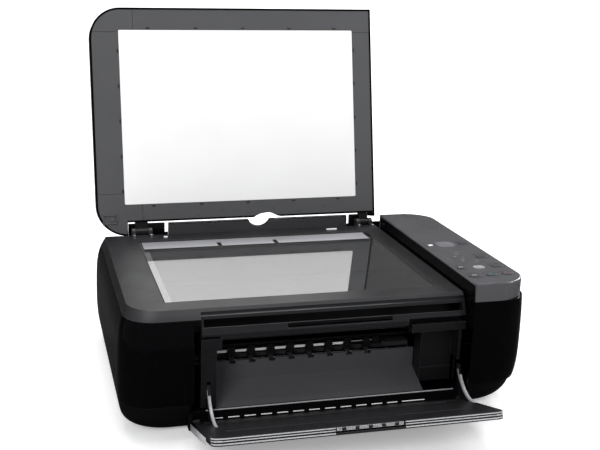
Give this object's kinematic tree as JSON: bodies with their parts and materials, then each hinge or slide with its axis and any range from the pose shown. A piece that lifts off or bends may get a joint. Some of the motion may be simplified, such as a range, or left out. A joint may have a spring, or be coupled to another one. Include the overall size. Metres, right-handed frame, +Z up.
{
  "type": "inkjet printer",
  "caption": "Desktop inkjet printer with a flat-bed scanner: opening lid, raising scanner unit, fold-down output tray, rear paper support and key panel.",
  "frame": {"origin": "middle of the plan, on the table the feet stand on", "axes": "+X to the right seen from the front, +Y to the back, +Z up"},
  "size_m": [0.4438, 0.4756, 0.4146],
  "materials": {
    "gloss_black": "polished black ABS",
    "satin_black": "fine-grained black ABS",
    "panel_grey": "grained charcoal grey ABS",
    "lid_grey": "satin dark grey ABS",
    "mat_white": "white film on foam",
    "bed_glass": "clear float glass",
    "window_clear": "tinted window",
    "steel": "polished steel bar",
    "zinc_sheet": "zinc-plated pressed sheet",
    "rubber": "matt rubber",
    "gear_white": "natural acetal",
    "key_grey": "satin grey key",
    "key_light": "light grey key",
    "board_green": "solder mask on fibreglass",
    "motor_can": "drawn steel can",
    "tray_black": "satin black tray",
    "trim_silver": "pearl grey trim",
    "ink_colour": "dark cartridge shell"
  },
  "bodies": {
    "base": {"bottom_case": "satin_black", "rubber_feet": "rubber", "left_side_cover": "gloss_black", "right_side_cover": "gloss_black", "rear_cover": "satin_black", "rear_sockets": "satin_black", "front_frame": "satin_black", "output_guide": "satin_black", "control_panel": "panel_grey", "display_window": "window_clear", "chassis_frame": "zinc_sheet", "carriage_guide_shaft": "steel", "carriage_belt": "rubber", "carriage_motor": "motor_can", "feed_motor": "motor_can", "star_wheels": "satin_black", "star_axle": "steel", "platen": "satin_black", "pinch_rollers": "satin_black", "logic_board": "board_green", "power_supply": "satin_black"},
    "scanner_unit": {"scanner_case": "satin_black", "scanner_top_frame": "panel_grey", "scanner_fascia": "gloss_black", "scanner_glass": "bed_glass", "scan_rail": "steel"},
    "scan_carriage": {"scan_bar": "satin_black"},
    "lid": {"lid_shell": "gloss_black", "lid_inner_frame": "lid_grey", "lid_mat": "mat_white", "lid_hinge_arms": "satin_black"},
    "stay": {"support_arm": "satin_black"},
    "tray": {"output_tray": "tray_black"},
    "tray_flap": {"tray_extension": "trim_silver"},
    "rear_support": {"paper_support": "lid_grey"},
    "rear_extension": {"support_extension": "lid_grey"},
    "left_guide": {"left_paper_guide": "lid_grey"},
    "right_guide": {"right_paper_guide": "lid_grey"},
    "feed_drive": {"feed_roller": "steel", "feed_gear": "gear_white"},
    "output_drive": {"output_shaft": "steel", "output_gear": "gear_white", "output_tyres": "rubber"},
    "idler_drive": {"idler_gear": "gear_white"},
    "pinion_drive": {"motor_pinion": "gear_white"},
    "pickup": {"pickup_roller": "rubber"},
    "belt_drive": {"drive_pulley": "gear_white"},
    "belt_idler": {"idler_pulley": "gear_white"},
    "carriage": {"print_carriage": "satin_black", "black_cartridge": "ink_colour", "colour_cartridge": "ink_colour"},
    "caps": {"cap_sled": "gear_white"},
    "copies_button": {"copies_key": "key_grey"},
    "fit_to_page_button": {"fit_to_page_key": "key_grey"},
    "scan_button": {"scan_key": "key_grey"},
    "power_button": {"power_key": "key_grey"},
    "ok_button": {"ok_key": "key_light"},
    "black_start_button": {"black_start_key": "key_grey"},
    "colour_start_button": {"colour_start_key": "key_grey"},
    "stop_button": {"stop_key": "key_grey"}
  },
  "joints": [
    {"name": "unit_hinge", "type": "hinge", "parent": "base", "child": "scanner_unit", "pos_m": [0, 0.17004, 0.116], "axis": [-1, 0, 0], "range_deg": [0, 28]},
    {"name": "stay_fold", "type": "hinge", "parent": "scanner_unit", "child": "stay", "pos_m": [-0.166, 0.08104, 0.103], "axis": [1, 0, 0], "range_deg": [0, 118]},
    {"name": "scan_travel", "type": "slide", "parent": "scanner_unit", "child": "scan_carriage", "axis": [1, 0, 0], "range_m": [0, 0.2953]},
    {"name": "lid_hinge", "type": "hinge", "parent": "scanner_unit", "child": "lid", "pos_m": [0, 0.16134, 0.1365], "axis": [1, 0, 0], "range_deg": [0, 102.3]},
    {"name": "tray_hinge", "type": "hinge", "parent": "base", "child": "tray", "pos_m": [0, -0.13646, 0.0155], "axis": [-1, 0, 0], "range_deg": [0, 72]},
    {"name": "tray_flap_hinge", "type": "hinge", "parent": "tray", "child": "tray_flap", "pos_m": [0, -0.23312, 0.04354], "axis": [1, 0, 0], "range_deg": [0, 165]},
    {"name": "paper_support_hinge", "type": "hinge", "parent": "base", "child": "rear_support", "pos_m": [0, 0.17954, 0.068], "axis": [-1, 0, 0], "range_deg": [0, 25]},
    {"name": "extension_slide", "type": "slide", "parent": "rear_support", "child": "rear_extension", "axis": [0, 0, 1], "range_m": [0, 0.05]},
    {"name": "left_guide_slide", "type": "slide", "parent": "rear_support", "child": "left_guide", "axis": [1, 0, 0], "range_m": [0, 0.045]},
    {"name": "right_guide_slide", "type": "slide", "parent": "rear_support", "child": "right_guide", "axis": [-1, 0, 0], "range_m": [0, 0.045]},
    {"name": "feed_roller_spin", "type": "hinge", "parent": "base", "child": "feed_drive", "pos_m": [0, 0.04404, 0.056], "axis": [1, 0, 0], "continuous": true},
    {"name": "idler_gear_spin", "type": "hinge", "parent": "base", "child": "idler_drive", "pos_m": [0, -0.01796, 0.056], "axis": [1, 0, 0], "continuous": true},
    {"name": "output_roller_spin", "type": "hinge", "parent": "base", "child": "output_drive", "pos_m": [0, -0.07996, 0.056], "axis": [1, 0, 0], "continuous": true},
    {"name": "pinion_spin", "type": "hinge", "parent": "base", "child": "pinion_drive", "pos_m": [0, 0.06384, 0.0362], "axis": [1, 0, 0], "continuous": true},
    {"name": "pickup_roller_spin", "type": "hinge", "parent": "base", "child": "pickup", "pos_m": [0, 0.14204, 0.084], "axis": [1, 0, 0], "continuous": true},
    {"name": "carriage_slide", "type": "slide", "parent": "base", "child": "carriage", "axis": [-1, 0, 0], "range_m": [0, 0.275]},
    {"name": "drive_pulley_spin", "type": "hinge", "parent": "base", "child": "belt_drive", "pos_m": [0.186, 0.08004, 0.088], "axis": [0, 1, 0], "continuous": true},
    {"name": "idler_pulley_spin", "type": "hinge", "parent": "base", "child": "belt_idler", "pos_m": [-0.164, 0.08004, 0.088], "axis": [0, 1, 0], "continuous": true},
    {"name": "cap_lift", "type": "slide", "parent": "base", "child": "caps", "axis": [0, 0, 1], "range_m": [0, 0.004]},
    {"name": "copies_press", "type": "slide", "parent": "base", "child": "copies_button", "axis": [0, 0, -1], "range_m": [0, 0.0006], "stiffness_N_per_m": 400},
    {"name": "fit_to_page_press", "type": "slide", "parent": "base", "child": "fit_to_page_button", "axis": [0, 0, -1], "range_m": [0, 0.0006], "stiffness_N_per_m": 400},
    {"name": "scan_press", "type": "slide", "parent": "base", "child": "scan_button", "axis": [0, 0, -1], "range_m": [0, 0.0006], "stiffness_N_per_m": 400},
    {"name": "power_press", "type": "slide", "parent": "base", "child": "power_button", "axis": [0, 0, -1], "range_m": [0, 0.0006], "stiffness_N_per_m": 400},
    {"name": "ok_press", "type": "slide", "parent": "base", "child": "ok_button", "axis": [0, 0, -1], "range_m": [0, 0.0006], "stiffness_N_per_m": 400},
    {"name": "black_start_press", "type": "slide", "parent": "base", "child": "black_start_button", "axis": [0, 0, -1], "range_m": [0, 0.0006], "stiffness_N_per_m": 400},
    {"name": "colour_start_press", "type": "slide", "parent": "base", "child": "colour_start_button", "axis": [0, 0, -1], "range_m": [0, 0.0006], "stiffness_N_per_m": 400},
    {"name": "stop_press", "type": "slide", "parent": "base", "child": "stop_button", "axis": [0, 0, -1], "range_m": [0, 0.0006], "stiffness_N_per_m": 400}
  ],
  "couplings": [
    {"joint": "stay_fold", "follows": "unit_hinge", "ratio": 4.2141},
    {"joint": "extension_slide", "follows": "paper_support_hinge", "m_per_rad": 0.11436},
    {"joint": "right_guide_slide", "follows": "left_guide_slide", "ratio": 1},
    {"joint": "idler_gear_spin", "follows": "feed_roller_spin", "ratio": -0.47619},
    {"joint": "output_roller_spin", "follows": "feed_roller_spin", "ratio": 1},
    {"joint": "pinion_spin", "follows": "feed_roller_spin", "ratio": -2.5},
    {"joint": "drive_pulley_spin", "follows": "carriage_slide", "rad_per_m": 149.25},
    {"joint": "idler_pulley_spin", "follows": "carriage_slide", "rad_per_m": 149.25}
  ]
}
